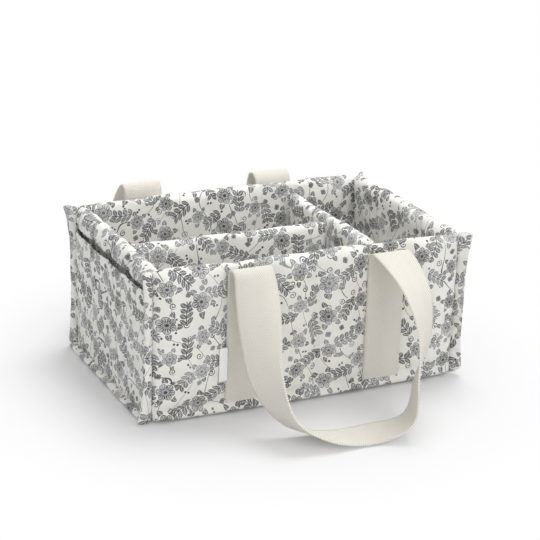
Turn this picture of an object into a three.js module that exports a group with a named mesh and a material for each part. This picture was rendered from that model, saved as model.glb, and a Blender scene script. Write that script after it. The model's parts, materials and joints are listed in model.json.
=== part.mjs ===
// A soft nursery caddy: four padded cloth walls round a stiffened base, an outer slip pocket at
// each end, two webbing carry handles and two padded dividers that lift out.
// Millimetres, +Z up, front towards -Y, origin at the middle of the underside.
import * as THREE from 'three';

// The box
const LENGTH = 400; // left corner seam to right corner seam
const WIDTH = 258; // front face to back face
const HEIGHT = 185; // floor to the top of the walls
const WALL = 12; // a padded wall where it is sewn flat
const CLOTH = 1.2; // the quilted cover of a padded panel
const CLEAR = 0.3; // between one sewn piece and the next
const WALL_FOOT = 0.5; // the walls' hem over the floor

// The padding between the lines of stitches
const WALL_PUFF_OUT = 5;
const WALL_PUFF_IN = 2.5;
const END_PUFF_OUT = 3;
const DIVIDER_PUFF = 2;
const PUFF_SPREAD = 30; // distance from a seam to the full puff
const PUFF_RISE = 42; // the same, up from the base and down from the top
const STITCH_LINE = 2; // width drawn flat by a line of stitches
const END_CHANNELS = 4; // upright channels quilted into each end

// The base, from the underside up
const BASE_CLOTH = 1.2;
const BASE_BOARD = 3;
const BASE_FOAM = 5;
const BASE_LINING = 1.2;
const BOARD_CORNER = 10;

// Seam allowances that stand out at the ends of the box
const FLANGE_REACH = 14;
const FLANGE_THICK = 4.5;
const FOOT_FLANGE = 7; // thickness of the roll along the foot of an end
const FLANGE_DROP = 1; // from the walls' top to the top of an upright flange
const FLANGE_EASE = 8; // rounding of a flange's upper and lower corner
const FRONT_RIGHT_SPLAY = 10; // how far this flange leans to the front at its edge
const FRONT_LEFT_SPLAY = 2;
const BACK_SPLAY = 2;

// The slip pockets on the ends
const POCKET_TOP = 160;
const POCKET_THICK = 2;
const POCKET_GAPE = 8; // the mouth, at the middle of its edge
const POCKET_FLARE = 0.8; // how the gape grows from the bottom to the mouth

// The handles
const STRAP_WIDTH = 49.5;
const STRAP_THICK = 2.4;
const STRAP_EDGE = 0.9; // bevel along the selvedges
const HANDLE_SPACING = 182; // between the middles of a handle's two sewn strips
const STRIP_FOOT = 7; // lower end of a sewn strip
const BEND_LENGTH = 52; // the stretch of a handle that bends when it is lifted
const BEND_LEAD = 8; // the straight run at its foot
const BEND_STEP = 3;
const LOOP_STEP = 9;
const FRONT_MIDDLE = 6.5;
const BACK_MIDDLE = -18;
const FRONT_BEND = { radius: 9, leftDrop: 16, rightDrop: 19 }; // drops are from the walls' top
const BACK_BEND = { radius: 13, leftDrop: -6, rightDrop: -6 };
const LEFT_TURN = [0, 45, 90, 135]; // degrees round the bend
const RIGHT_TURN = [80, 40, 0];
const LEFT_HEADING = 0; // of the strap's width, at the start of a handle
const RIGHT_HEADING = -180; // and at its end

// The loop as it lies when let go, seen from its own wall: across from the handle's middle, out
// from the sewn strips, up from the floor, then the heading and the rise of the strap's width.
const LOOP_ROUTE = [
  [-93, 33, 143, -18, 10],
  [-96, 49, 115, -35, 20],
  [-100, 77, 69, -63, 30],
  [-82, 104, 25, -98, 27],
  [-41, 116, 7, -103, 10],
  [11, 120, 3, -101, 0],
  [54, 130, 19, -107, 11],
  [66, 124, 68, -117, 19],
  [82, 107, 107, -140, 27],
  [89, 74, 148, -163, 14],
];

// The dividers and the tape that holds them
const DIVIDER = 11;
const CROSS_X = 93; // middle of the divider that runs front to back
const CROSS_DROP = 5; // below the walls' top
const LONG_DROP = 10;
const DIVIDER_HEM = 6; // sewn flat along the foot
const TAPE = 1.5;
const TAPE_WIDTH = 10; // hidden behind the end of a divider
const TAPE_SEAT = 20; // sewn flat behind a tape
const TAPE_FOOT = 43;
const TAPE_HEIGHT = 110;

// The bare woven tab beside the left strip of the front handle
const TAB_WIDTH = 11;
const TAB_FOOT = 42;
const TAB_HEIGHT = 42;
const TAB_THICK = 0.8;

// Places that follow from the sizes above
const BOARD_FOOT = BASE_CLOTH + CLEAR;
const BASE_FOAM_FOOT = BOARD_FOOT + BASE_BOARD + CLEAR;
const LINING_FOOT = BASE_FOAM_FOOT + BASE_FOAM + CLEAR;
const SEAT = LINING_FOOT + BASE_LINING;
const INNER_X = LENGTH / 2 - WALL;
const INNER_Y = WIDTH / 2 - WALL;
const STRAP_PLANE = WIDTH / 2 + CLEAR + STRAP_THICK / 2;
const TAPE_STACK = 2 * TAPE + 3 * CLEAR;
const CROWN = [Math.PI / 4, Math.PI / 2, (3 * Math.PI) / 4];
const CHANNEL_STATIONS = [0.12, 0.5, 0.88];
const PUFF_LEVELS = [0, 0.3, 1]; // shares of the puff's rise that get a ring of points
const POCKET_LEVELS = [0, 0.08, 0.25, 0.5, 0.75, 1]; // shares of a pocket's height
const PATCH_LEVELS = [0, 1 / 2, 1];
const PATCH_STATIONS = [0, 1 / 3, 2 / 3, 1];
const CORNER_SEGMENTS = 4;
const ROUTE_SEGMENTS = 2000; // for measuring along a handle

const PRINT = { color: 0xd8d7d1, roughness: 0.9 };
const FOAM = { color: 0xf0e8cf, roughness: 1 };
const WEBBING = { color: 0xece7dc, roughness: 0.85 };
const BOARD = { color: 0xb8a88a, roughness: 0.8 };
const TAPE_CLOTH = { color: 0xe9ebee, roughness: 0.95 };
const LABEL = { color: 0xf7f6f3, roughness: 0.8 };

const caddy = new THREE.Group();

function add(name, geometry, finish) {
  const mesh = new THREE.Mesh(geometry, new THREE.MeshStandardMaterial({ ...finish, metalness: 0 }));
  mesh.name = name;
  caddy.add(mesh);
  return mesh;
}

// Joins a row of rings, each with the same count of points, into one closed solid. The outline
// gives the flat shape of a ring, for the two ends. Each four-sided face is split along its shorter
// diagonal, so that the two skins of a cover stay parallel.
function loft(rings, outline) {
  const count = outline.length;
  const points = rings.flat();
  const ends = THREE.ShapeUtils.triangulateShape(outline, []);
  const turn = Math.sign(THREE.ShapeUtils.area(outline));
  const faces = [];
  for (const [a, b, c] of ends) {
    const same = turn * THREE.ShapeUtils.area([outline[a], outline[b], outline[c]]) > 0;
    const [p, q, r] = same ? [a, b, c] : [a, c, b];
    const last = (rings.length - 1) * count;
    faces.push(p, r, q, last + p, last + q, last + r);
  }
  for (let i = 0; i + 1 < rings.length; i += 1) {
    for (let j = 0; j < count; j += 1) {
      const a = i * count + j;
      const b = i * count + ((j + 1) % count);
      const [c, d] = [a + count, b + count];
      const straight = points[a].distanceTo(points[d]) <= points[b].distanceTo(points[c]);
      faces.push(...(straight ? [a, b, d, a, d, c] : [a, b, c, b, d, c]));
    }
  }
  let volume = 0;
  for (let i = 0; i < faces.length; i += 3) {
    const [a, b, c] = faces.slice(i, i + 3).map((k) => points[k]);
    volume += a.dot(new THREE.Vector3().crossVectors(b, c));
  }
  const geometry = new THREE.BufferGeometry().setFromPoints(points);
  geometry.setIndex(volume > 0 ? faces : faces.reverse());
  return geometry;
}

// A quarter round from 0 to 1
function roundRise(t) {
  const left = 1 - THREE.MathUtils.clamp(t, 0, 1);
  return Math.sqrt(1 - left * left);
}

// How far the padding stands out of a panel's face at a place along it and a height
function swell(panel, face, u, z) {
  const fromSeam = Math.min(...face.sewn.map(([from, to]) => Math.max(from - u, u - to, 0)));
  const shoulder = panel.top - panel.half;
  const upright = roundRise((z - panel.seat) / PUFF_RISE) * roundRise((shoulder - z) / PUFF_RISE);
  return face.puff * roundRise(fromSeam / PUFF_SPREAD) * upright;
}

// Up a panel's outer face, over its round top and down its inner face
function arch(panel, u, inset, levels) {
  const side = (face) => levels.map((z) => panel.half + swell(panel, face, u, z) - inset);
  const outer = side(panel.outer).map((v, i) => new THREE.Vector2(v, levels[i]));
  const inner = side(panel.inner).map((v, i) => new THREE.Vector2(-v, levels[i]));
  const radius = panel.half - inset;
  const shoulder = panel.top - panel.half;
  const crown = CROWN.map(
    (a) => new THREE.Vector2(radius * Math.cos(a), shoulder + radius * Math.sin(a)),
  );
  return [...outer, ...crown, ...inner.reverse()];
}

// Places along a panel: its ends, the edges of what is sewn flat, and a few in each wide channel
function stations(panel) {
  const half = panel.span / 2;
  const edges = [...panel.outer.sewn, ...panel.inner.sewn].flat().filter((u) => Math.abs(u) < half);
  const marks = [...new Set([-half, ...edges, half])].sort((a, b) => a - b);
  const flat = (u) => panel.outer.sewn.some(([from, to]) => u >= from && u <= to);
  return marks.flatMap((u, i) => {
    const next = marks[i + 1];
    if (next === undefined || next - u < TAPE_SEAT || flat((u + next) / 2)) {
      return [u];
    }
    return [u, ...CHANNEL_STATIONS.map((t) => u + t * (next - u))];
  });
}

// A cover folded over the top of its padding and open along its hem, with the padding inside
function paddedPanel(name, panel) {
  const shoulder = panel.top - panel.half;
  const rises = PUFF_LEVELS.map((t) => t * PUFF_RISE);
  const levels = [panel.foot, ...rises.map((h) => panel.seat + h)];
  levels.push(...rises.map((h) => shoulder - h).reverse());
  const cover = (u) => [...arch(panel, u, 0, levels), ...arch(panel, u, CLOTH, levels).reverse()];
  const foam = (u) => arch(panel, u, CLOTH + CLEAR, levels);
  const along = stations(panel);
  const solid = (section) => {
    const rings = along.map((u) => section(u).map((p) => panel.place(u, p.x, p.y)));
    return loft(rings, section(along[0]));
  };
  add(`${name}_cover`, solid(cover), PRINT);
  add(`${name}_foam`, solid(foam), FOAM);
}

// A thin piece lying on one face of a panel, following its padding
function patch(panel, side, from, to, foot, height, thick) {
  const face = panel[side];
  const out = side === 'outer' ? 1 : -1;
  const levels = PATCH_LEVELS.map((t) => foot + t * height);
  const section = (u) => {
    const lie = (z, lift) => out * (panel.half + swell(panel, face, u, z) + CLEAR + lift);
    const under = levels.map((z) => new THREE.Vector2(lie(z, 0), z));
    const over = levels.map((z) => new THREE.Vector2(lie(z, thick), z));
    return [...under, ...over.reverse()];
  };
  const along = PATCH_STATIONS.map((t) => from + t * (to - from));
  return loft(along.map((u) => section(u).map((p) => panel.place(u, p.x, p.y))), section(from));
}

function line(u) {
  return [u - STITCH_LINE / 2, u + STITCH_LINE / 2];
}

function strip(u, width) {
  return [u - width / 2, u + width / 2];
}

function wallEnds(half) {
  return [[-LENGTH, -half], [half, LENGTH]];
}

// The four walls. A long wall is sewn flat at its corners, under the straps, along its middle and
// behind the divider's tape. An end is quilted into upright channels.
function longWall(side, middle) {
  const sewn = wallEnds(INNER_X - CLEAR);
  sewn.push(strip(middle - HANDLE_SPACING / 2, STRAP_WIDTH), line(middle));
  sewn.push(strip(middle + HANDLE_SPACING / 2, STRAP_WIDTH));
  return {
    span: LENGTH,
    foot: WALL_FOOT,
    seat: SEAT,
    top: HEIGHT,
    half: WALL / 2,
    outer: { sewn, puff: WALL_PUFF_OUT },
    inner: { sewn: [...sewn, strip(CROSS_X, TAPE_SEAT)], puff: WALL_PUFF_IN },
    place: (u, v, z) => new THREE.Vector3(u, side * (WIDTH / 2 - WALL / 2 + v), z),
  };
}

function endWall(side) {
  const span = 2 * (INNER_Y - CLEAR);
  const sewn = wallEnds(span / 2);
  for (let i = 1; i < END_CHANNELS; i += 1) {
    sewn.push(line(span * (i / END_CHANNELS - 1 / 2)));
  }
  return {
    span,
    foot: WALL_FOOT,
    seat: SEAT,
    top: HEIGHT,
    half: WALL / 2,
    outer: { sewn, puff: END_PUFF_OUT },
    inner: { sewn: [...sewn, strip(0, TAPE_SEAT)], puff: WALL_PUFF_IN },
    place: (u, v, z) => new THREE.Vector3(side * (LENGTH / 2 - WALL / 2 + v), u, z),
  };
}

const frontWall = longWall(-1, FRONT_MIDDLE);
const backWall = longWall(1, BACK_MIDDLE);
const leftEnd = endWall(-1);
const rightEnd = endWall(1);
paddedPanel('front_wall', frontWall);
paddedPanel('back_wall', backWall);
paddedPanel('left_end', leftEnd);
paddedPanel('right_end', rightEnd);

// The base: cloth under a board, and foam with a lining over it
function plate(name, foot, thick, corner, finish) {
  const x = INNER_X - CLEAR;
  const y = INNER_Y - CLEAR;
  const outline = new THREE.Shape();
  if (corner > 0) {
    outline.absarc(x - corner, y - corner, corner, 0, Math.PI / 2);
    outline.absarc(corner - x, y - corner, corner, Math.PI / 2, Math.PI);
    outline.absarc(corner - x, corner - y, corner, Math.PI, 1.5 * Math.PI);
    outline.absarc(x - corner, corner - y, corner, 1.5 * Math.PI, 2 * Math.PI);
  } else {
    outline.moveTo(x, -y).lineTo(x, y).lineTo(-x, y).lineTo(-x, -y);
  }
  const options = { depth: thick, bevelEnabled: false, curveSegments: CORNER_SEGMENTS };
  add(name, new THREE.ExtrudeGeometry(outline, options), finish).position.z = foot;
}

plate('base_cover', 0, BASE_CLOTH, 0, PRINT);
plate('base_board', BOARD_FOOT, BASE_BOARD, BOARD_CORNER, BOARD);
plate('base_foam', BASE_FOAM_FOOT, BASE_FOAM, BOARD_CORNER, FOAM);
plate('base_lining', LINING_FOOT, BASE_LINING, 0, PRINT);

// Seam allowances: upright ones at the four corners, and one along the foot of each end
function flangeSection(reach, thick) {
  const nose = thick / 2;
  return [[0, 0], [reach - nose, 0], [reach, nose], [reach - nose, thick], [0, thick]]
    .map(([out, across]) => new THREE.Vector2(out, across));
}

function cornerFlange(name, sideX, sideY, splay) {
  const top = HEIGHT - FLANGE_DROP;
  const foot = WALL_FOOT;
  const heights = [foot, foot + FLANGE_EASE, top - FLANGE_EASE, top];
  const eased = FLANGE_REACH - FLANGE_EASE / 2;
  const reaches = [eased, FLANGE_REACH, FLANGE_REACH, eased];
  const rings = heights.map((z, i) => flangeSection(reaches[i], FLANGE_THICK).map((p) => {
    const lean = splay * (p.x / FLANGE_REACH) ** 2;
    const x = LENGTH / 2 + CLEAR + p.x;
    return new THREE.Vector3(sideX * x, sideY * (WIDTH / 2 - p.y + lean), z);
  }));
  add(name, loft(rings, flangeSection(FLANGE_REACH, FLANGE_THICK)), PRINT);
}

function footFlange(name, sideX) {
  const half = WIDTH / 2 - FLANGE_THICK - CLEAR;
  const rings = [-half, half].map((y) => flangeSection(FLANGE_REACH, FOOT_FLANGE).map(
    (p) => new THREE.Vector3(sideX * (LENGTH / 2 + CLEAR + p.x), y, WALL_FOOT + p.y),
  ));
  add(name, loft(rings, flangeSection(FLANGE_REACH, FOOT_FLANGE)), PRINT);
}

cornerFlange('front_left_flange', -1, -1, FRONT_LEFT_SPLAY);
cornerFlange('front_right_flange', 1, -1, FRONT_RIGHT_SPLAY);
cornerFlange('back_left_flange', -1, 1, BACK_SPLAY);
cornerFlange('back_right_flange', 1, 1, BACK_SPLAY);
footFlange('left_foot_flange', -1);
footFlange('right_foot_flange', 1);

// A slip pocket: a panel caught in the seams at its sides and foot, standing open at the top
function pocket(name, panel) {
  const half = WIDTH / 2 - FLANGE_THICK - CLEAR;
  const foot = WALL_FOOT + FOOT_FLANGE + CLEAR;
  const levels = POCKET_LEVELS.map((t) => foot + t * (POCKET_TOP - foot));
  const section = (u) => {
    const bow = 1 - (u / half) ** 2;
    const lie = (z, i) => {
      const gape = POCKET_GAPE * bow * POCKET_LEVELS[i] ** POCKET_FLARE;
      return panel.half + swell(panel, panel.outer, u, z) + CLEAR + gape;
    };
    const inner = levels.map((z, i) => new THREE.Vector2(lie(z, i), z));
    const outer = inner.map((p) => new THREE.Vector2(p.x + POCKET_THICK, p.y));
    return [...inner, ...outer.reverse()];
  };
  const along = [-half, ...stations(panel), half];
  const rings = along.map((u) => section(u).map((p) => panel.place(u, p.x, p.y)));
  add(name, loft(rings, section(0)), PRINT);
}

pocket('left_pocket', leftEnd);
pocket('right_pocket', rightEnd);

// The woven tab, caught under the edge of the front handle's left strip
const tabEnd = FRONT_MIDDLE - HANDLE_SPACING / 2 - STRAP_WIDTH / 2 - CLEAR;
const tab = patch(frontWall, 'outer', tabEnd - TAB_WIDTH, tabEnd, TAB_FOOT, TAB_HEIGHT, TAB_THICK);
add('side_tab', tab, LABEL);

// A length of webbing: flat, with bevelled selvedges
function strapSection() {
  const w = STRAP_WIDTH / 2;
  const t = STRAP_THICK / 2;
  const e = w - STRAP_EDGE;
  const corners = [[-w, 0], [-e, -t], [e, -t], [w, 0], [e, t], [-e, t]];
  return corners.map(([a, b]) => new THREE.Vector2(a, b));
}

// A handle's middle line and the direction of its width, from one bend over the loop to the other
function handleCurves(bend, facing, middle) {
  const turnAround = (v) => v.applyAxisAngle(new THREE.Vector3(0, 0, 1), facing < 0 ? 0 : Math.PI);
  const point = (x, out, z) => {
    const p = turnAround(new THREE.Vector3(x, -(STRAP_PLANE + out), z));
    return p.add(new THREE.Vector3(middle, 0, 0));
  };
  const width = (heading, rise) => {
    const h = THREE.MathUtils.degToRad(heading);
    const r = THREE.MathUtils.degToRad(rise);
    const level = new THREE.Vector3(Math.cos(h), Math.sin(h), 0).multiplyScalar(Math.cos(r));
    return turnAround(level.setZ(Math.sin(r)));
  };
  const bendPoints = (x, drop, angles) => angles.map((degrees) => {
    const a = THREE.MathUtils.degToRad(degrees);
    return point(x, bend.radius * (1 - Math.cos(a)), HEIGHT - drop + bend.radius * Math.sin(a));
  });
  const [left, right] = [-HANDLE_SPACING / 2, HANDLE_SPACING / 2];
  const points = [
    point(left, 0, HEIGHT - bend.leftDrop - BEND_LEAD),
    ...bendPoints(left, bend.leftDrop, LEFT_TURN),
    ...LOOP_ROUTE.map(([x, out, z]) => point(x, out, z)),
    ...bendPoints(right, bend.rightDrop, RIGHT_TURN),
    point(right, 0, HEIGHT - bend.rightDrop - BEND_LEAD),
  ];
  const widths = [
    width(LEFT_HEADING, 0),
    ...LEFT_TURN.map(() => width(LEFT_HEADING, 0)),
    ...LOOP_ROUTE.map(([, , , heading, rise]) => width(heading, rise)),
    ...RIGHT_TURN.map(() => width(RIGHT_HEADING, 0)),
    width(RIGHT_HEADING, 0),
  ];
  return {
    middle: new THREE.CatmullRomCurve3(points, false, 'centripetal'),
    width: new THREE.CatmullRomCurve3(widths, false, 'catmullrom'),
  };
}

// The webbing between two distances along a handle's middle line
function webbing(curves, from, to, step) {
  const length = curves.middle.getLength();
  const count = Math.ceil((to - from) / step);
  const section = strapSection();
  const rings = [];
  for (let i = 0; i <= count; i += 1) {
    const t = curves.middle.getUtoTmapping((from + ((to - from) * i) / count) / length);
    const centre = curves.middle.getPoint(t);
    const along = curves.middle.getTangent(t);
    const across = curves.width.getPoint(t);
    across.addScaledVector(along, -across.dot(along)).normalize();
    const normal = new THREE.Vector3().crossVectors(along, across);
    const corner = (p) => centre.clone().addScaledVector(across, p.x).addScaledVector(normal, p.y);
    rings.push(section.map(corner));
  }
  return loft(rings, section);
}

// The part of a handle that is sewn flat to its wall
function sewnStrip(x, facing, top) {
  const section = strapSection();
  const y = facing * STRAP_PLANE;
  const rings = [STRIP_FOOT, top].map((z) => section.map((p) => new THREE.Vector3(x + p.x, y + p.y, z)));
  return loft(rings, section);
}

function handle(name, facing, middle, bend) {
  const curves = handleCurves(bend, facing, middle);
  curves.middle.arcLengthDivisions = ROUTE_SEGMENTS;
  const length = curves.middle.getLength();
  const sides = facing < 0 ? ['left', 'right'] : ['right', 'left'];
  const tops = [bend.leftDrop, bend.rightDrop].map((drop) => HEIGHT - drop - BEND_LEAD - CLEAR);
  sides.forEach((side, i) => {
    const x = middle + (side === 'left' ? -1 : 1) * (HANDLE_SPACING / 2);
    add(`${name}_${side}_strip`, sewnStrip(x, facing, tops[i]), WEBBING);
  });
  add(`${name}_${sides[0]}_bend`, webbing(curves, 0, BEND_LENGTH, BEND_STEP), WEBBING);
  const [from, to] = [BEND_LENGTH + CLEAR, length - BEND_LENGTH - CLEAR];
  add(`${name}_loop`, webbing(curves, from, to, LOOP_STEP), WEBBING);
  add(`${name}_${sides[1]}_bend`, webbing(curves, length - BEND_LENGTH, length, BEND_STEP), WEBBING);
}

handle('front_handle', -1, FRONT_MIDDLE, FRONT_BEND);
handle('back_handle', 1, BACK_MIDDLE, BACK_BEND);

// The dividers stand on the lining. Hook tape on their ends meets loop tape sewn to the walls,
// and the long divider's right end meets tape on the cross divider.
function dividerPanel(span, drop, place) {
  const sewn = [...wallEnds(span / 2 - TAPE), strip(0, TAPE_SEAT)];
  const face = { sewn, puff: DIVIDER_PUFF };
  const foot = SEAT + CLEAR;
  const seat = foot + DIVIDER_HEM;
  return { span, foot, seat, top: HEIGHT - drop, half: DIVIDER / 2, outer: face, inner: face, place };
}

const crossSpan = 2 * (INNER_Y - TAPE_STACK);
const acrossBasket = (u, v, z) => new THREE.Vector3(CROSS_X - v, u, z);
const crossDivider = dividerPanel(crossSpan, CROSS_DROP, acrossBasket);
const longLeft = TAPE_STACK - INNER_X;
const longRight = CROSS_X - DIVIDER / 2 - TAPE_STACK;
const longMiddle = (longLeft + longRight) / 2;
const longSpan = longRight - longLeft;
const alongBasket = (u, v, z) => new THREE.Vector3(longMiddle + u, v, z);
const longDivider = dividerPanel(longSpan, LONG_DROP, alongBasket);
paddedPanel('cross_divider', crossDivider);
paddedPanel('long_divider', longDivider);

function tape(panel, side, u) {
  return patch(panel, side, ...strip(u, TAPE_WIDTH), TAPE_FOOT, TAPE_HEIGHT, TAPE);
}

add('front_wall_tape', tape(frontWall, 'inner', CROSS_X), TAPE_CLOTH);
add('back_wall_tape', tape(backWall, 'inner', CROSS_X), TAPE_CLOTH);
add('left_end_tape', tape(leftEnd, 'inner', 0), TAPE_CLOTH);
add('cross_divider_tape', tape(crossDivider, 'outer', 0), TAPE_CLOTH);

// Hook tape across the end of a divider
function hookTape(name, panel, end) {
  const mesh = add(name, new THREE.BoxGeometry(TAPE, DIVIDER, TAPE_HEIGHT), TAPE_CLOTH);
  const out = panel.span / 2 + CLEAR + TAPE / 2;
  mesh.position.copy(panel.place(end * out, 0, TAPE_FOOT + TAPE_HEIGHT / 2));
  return mesh;
}

hookTape('cross_divider_front_hook', crossDivider, -1).rotation.z = Math.PI / 2;
hookTape('cross_divider_back_hook', crossDivider, 1).rotation.z = Math.PI / 2;
hookTape('long_divider_left_hook', longDivider, -1);
hookTape('long_divider_right_hook', longDivider, 1);

export default caddy;
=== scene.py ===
# %% [markdown]
# # A padded caddy with two webbing handles
# A fabric caddy holds its shape through foam, quilting and seams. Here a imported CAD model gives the
# sizes and the motion, and Blender adds cloth, stitching and light. Units are metres, with +Z up
# and the front along -Y.

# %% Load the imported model
import json
import math

import bmesh
import bpy
from mathutils import Matrix, Vector, noise
from mathutils.bvhtree import BVHTree


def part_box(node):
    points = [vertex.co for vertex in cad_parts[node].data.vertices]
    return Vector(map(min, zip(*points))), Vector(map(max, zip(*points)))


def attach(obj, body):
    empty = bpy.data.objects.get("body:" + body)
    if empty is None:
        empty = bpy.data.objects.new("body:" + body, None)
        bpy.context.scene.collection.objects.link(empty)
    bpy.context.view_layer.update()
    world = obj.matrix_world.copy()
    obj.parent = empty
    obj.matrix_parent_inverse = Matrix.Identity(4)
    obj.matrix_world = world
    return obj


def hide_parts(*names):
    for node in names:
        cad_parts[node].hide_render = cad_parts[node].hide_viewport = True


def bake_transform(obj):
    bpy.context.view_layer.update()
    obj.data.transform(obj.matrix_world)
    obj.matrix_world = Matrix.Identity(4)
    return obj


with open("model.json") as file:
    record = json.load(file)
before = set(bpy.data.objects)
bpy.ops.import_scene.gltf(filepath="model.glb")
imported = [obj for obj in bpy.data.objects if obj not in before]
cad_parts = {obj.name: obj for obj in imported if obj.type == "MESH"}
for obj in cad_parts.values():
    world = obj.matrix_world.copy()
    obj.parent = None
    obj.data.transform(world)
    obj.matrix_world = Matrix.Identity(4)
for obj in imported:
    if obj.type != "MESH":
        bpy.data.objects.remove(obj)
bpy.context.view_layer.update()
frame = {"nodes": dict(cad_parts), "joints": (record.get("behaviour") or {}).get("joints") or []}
scene = bpy.context.scene
scene.view_settings.view_transform = "Standard"
noise.seed_set(7)
MM = 0.001


def add(name, data):
    made = bpy.data.objects.new(name, data)
    scene.collection.objects.link(made)
    return made


# %% [markdown]
# ## Sizes
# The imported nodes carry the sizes. A wall's sewn plane is read from a handle's strip, because the
# wall itself swells past it between its seams.

# %% Read the sizes from the frame
wall_lo, wall_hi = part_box("front_wall_cover")
strip_lo, strip_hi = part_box("front_handle_left_strip")
CLEAR = 0.3 * MM
WALL = 12 * MM
LENGTH = wall_hi.x - wall_lo.x
HEIGHT = wall_hi.z
WIDTH = -2 * (strip_hi.y + CLEAR)
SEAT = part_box("base_lining")[1].z
INNER_X = LENGTH / 2 - WALL
INNER_Y = WIDTH / 2 - WALL
STRAP_WIDTH = strip_hi.x - strip_lo.x
STRAP_THICK = strip_hi.y - strip_lo.y
STRAP_PLANE = WIDTH / 2 + CLEAR + STRAP_THICK / 2
print(f"the basket is {LENGTH:.3f} by {WIDTH:.3f} by {HEIGHT:.3f} m")

# %% [markdown]
# ## Camera
# The camera looks from the front left and a little above, through a long lens, and leans by two
# degrees. Building its matrix from three axes keeps that lean exact.

# %% Place the camera
CAMERA_AZIMUTH = math.radians(-26.45)
CAMERA_HEIGHT = math.radians(19.51)
CAMERA_LEAN = math.radians(1.95)
CAMERA_DISTANCE = 1.96015
CAMERA_LENS = 105.18
CAMERA_TARGET = Vector((0.00986, 0.00319, 0.11684))

flat = Vector((math.cos(CAMERA_AZIMUTH), math.sin(CAMERA_AZIMUTH), 0))
back = Vector((math.sin(CAMERA_AZIMUTH), -math.cos(CAMERA_AZIMUTH), 0)) * math.cos(CAMERA_HEIGHT)
back.z = math.sin(CAMERA_HEIGHT)
up = back.cross(flat)
right = flat * math.cos(CAMERA_LEAN) + up * math.sin(CAMERA_LEAN)
camera = add("camera", bpy.data.cameras.new("camera"))
camera.data.lens = CAMERA_LENS
axes = Matrix((right, back.cross(right), back)).transposed()
camera.matrix_world = Matrix.Translation(CAMERA_TARGET + back * CAMERA_DISTANCE) @ axes.to_4x4()
scene.camera = camera
print("camera at", [round(c, 3) for c in camera.matrix_world.translation])

# %% [markdown]
# ## Shader maths
# A printed cloth is drawn with many small sums. A class that wraps a node's socket and knows plus,
# minus, times and divide lets a pattern be written as an ordinary Python expression.

# %% A socket that can be used in an expression


def sign(operation):
    """Methods that add a Math node, for a socket on the left and on the right of a Python sign."""
    def left(wire, other):
        return wire.math(operation, other)

    def right(wire, other):
        return wire.finish.math(operation, other, wire)

    return left, right


class Wire:
    """One output socket of a finish. Arithmetic on it adds Math nodes."""

    def __init__(self, finish, socket):
        self.finish = finish
        self.socket = socket

    def math(self, operation, *others):
        return self.finish.math(operation, self, *others)

    __add__, __radd__ = sign("ADD")
    __sub__, __rsub__ = sign("SUBTRACT")
    __mul__, __rmul__ = sign("MULTIPLY")
    __truediv__, __rtruediv__ = sign("DIVIDE")

    def __abs__(self):
        return self.math("ABSOLUTE")


class Finish:
    """A material, with one method that adds any node to it."""

    def __init__(self, name):
        self.material = bpy.data.materials.new(name)
        self.material.use_nodes = True
        self.tree = self.material.node_tree
        self.shader = self.tree.nodes["Principled BSDF"]

    def node(self, kind, settings, inputs, output=0):
        made = self.tree.nodes.new(kind)
        for key, value in settings.items():
            setattr(made, key, value)
        for key, value in inputs.items():
            self.feed(made.inputs[key], value)
        return Wire(self, made.outputs[output])

    def feed(self, socket, value):
        if isinstance(value, Wire):
            self.tree.links.new(value.socket, socket)
        else:
            socket.default_value = value

    def math(self, operation, *values):
        return self.node("ShaderNodeMath", {"operation": operation}, dict(enumerate(values)))

    def rise(self, value, low, high):
        """0 below low, 1 above high, and smooth between."""
        ends = {"Value": value, "From Min": low, "From Max": high}
        return self.node("ShaderNodeMapRange", {"interpolation_type": "SMOOTHSTEP"}, ends)

    def noise(self, place, scale, detail, output=0):
        values = {"Vector": place, "Scale": scale, "Detail": detail}
        return self.node("ShaderNodeTexNoise", {}, values, output)

    def mix(self, factor, first, second):
        values = {0: factor, 6: first, 7: second}
        return self.node("ShaderNodeMix", {"data_type": "RGBA"}, values, 2)

    def bump(self, height, strength, distance):
        values = {"Height": height, "Strength": strength, "Distance": distance}
        return self.node("ShaderNodeBump", {}, values)

    def parts(self, vector, *numbers):
        """The numbers inside a vector or a colour."""
        split = self.node("ShaderNodeSeparateXYZ", {}, {0: vector}).socket.node
        return [Wire(self, split.outputs[i]) for i in numbers]

    def model_place(self):
        """The place in the model, from Object coordinates."""
        return self.node("ShaderNodeTexCoord", {}, {}, "Object")

    def surface(self, **values):
        """The material, with the named inputs fed."""
        for key, value in values.items():
            self.feed(self.shader.inputs[key.replace("_", " ")], value)
        return self.material


def colour(red, green, blue):
    """A colour as a picture shows it, 0 to 255, in the linear values that Blender mixes."""
    shares = [c / 255 for c in (red, green, blue)]
    return (*(s / 12.92 if s <= 0.04045 else ((s + 0.055) / 1.055) ** 2.4 for s in shares), 1.0)


print("shader helpers ready")

# %% [markdown]
# ## The printed cotton
# The cloth is off-white cotton with a small grey plant print, drawn so that it stays sharp at any
# distance. It is split into cells, every second column dropped by half. Each cell holds a blossom,
# a sprig or a small filler, moved and turned at random so that no rows show, and thin tendrils
# wander between. The design reads the UV map, the flat cut of each panel, so the print bends with
# the cloth. Its sizes are in millimetres.

# %% Draw the print
CUT = "cut"
TURN = 2 * math.pi
GARDEN = 41.0
FILLER = 16.5
JITTER = 5.0
TENDRIL = 37.0
TENDRIL_SWAY = 110
LEAF = 10.5
LEAFLET = 6.6
BLOSSOM = 10.6
SMALL_BLOSSOM = 3.8
BERRY_SHARE = 0.4
FERN_FROM = 0.7


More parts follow.
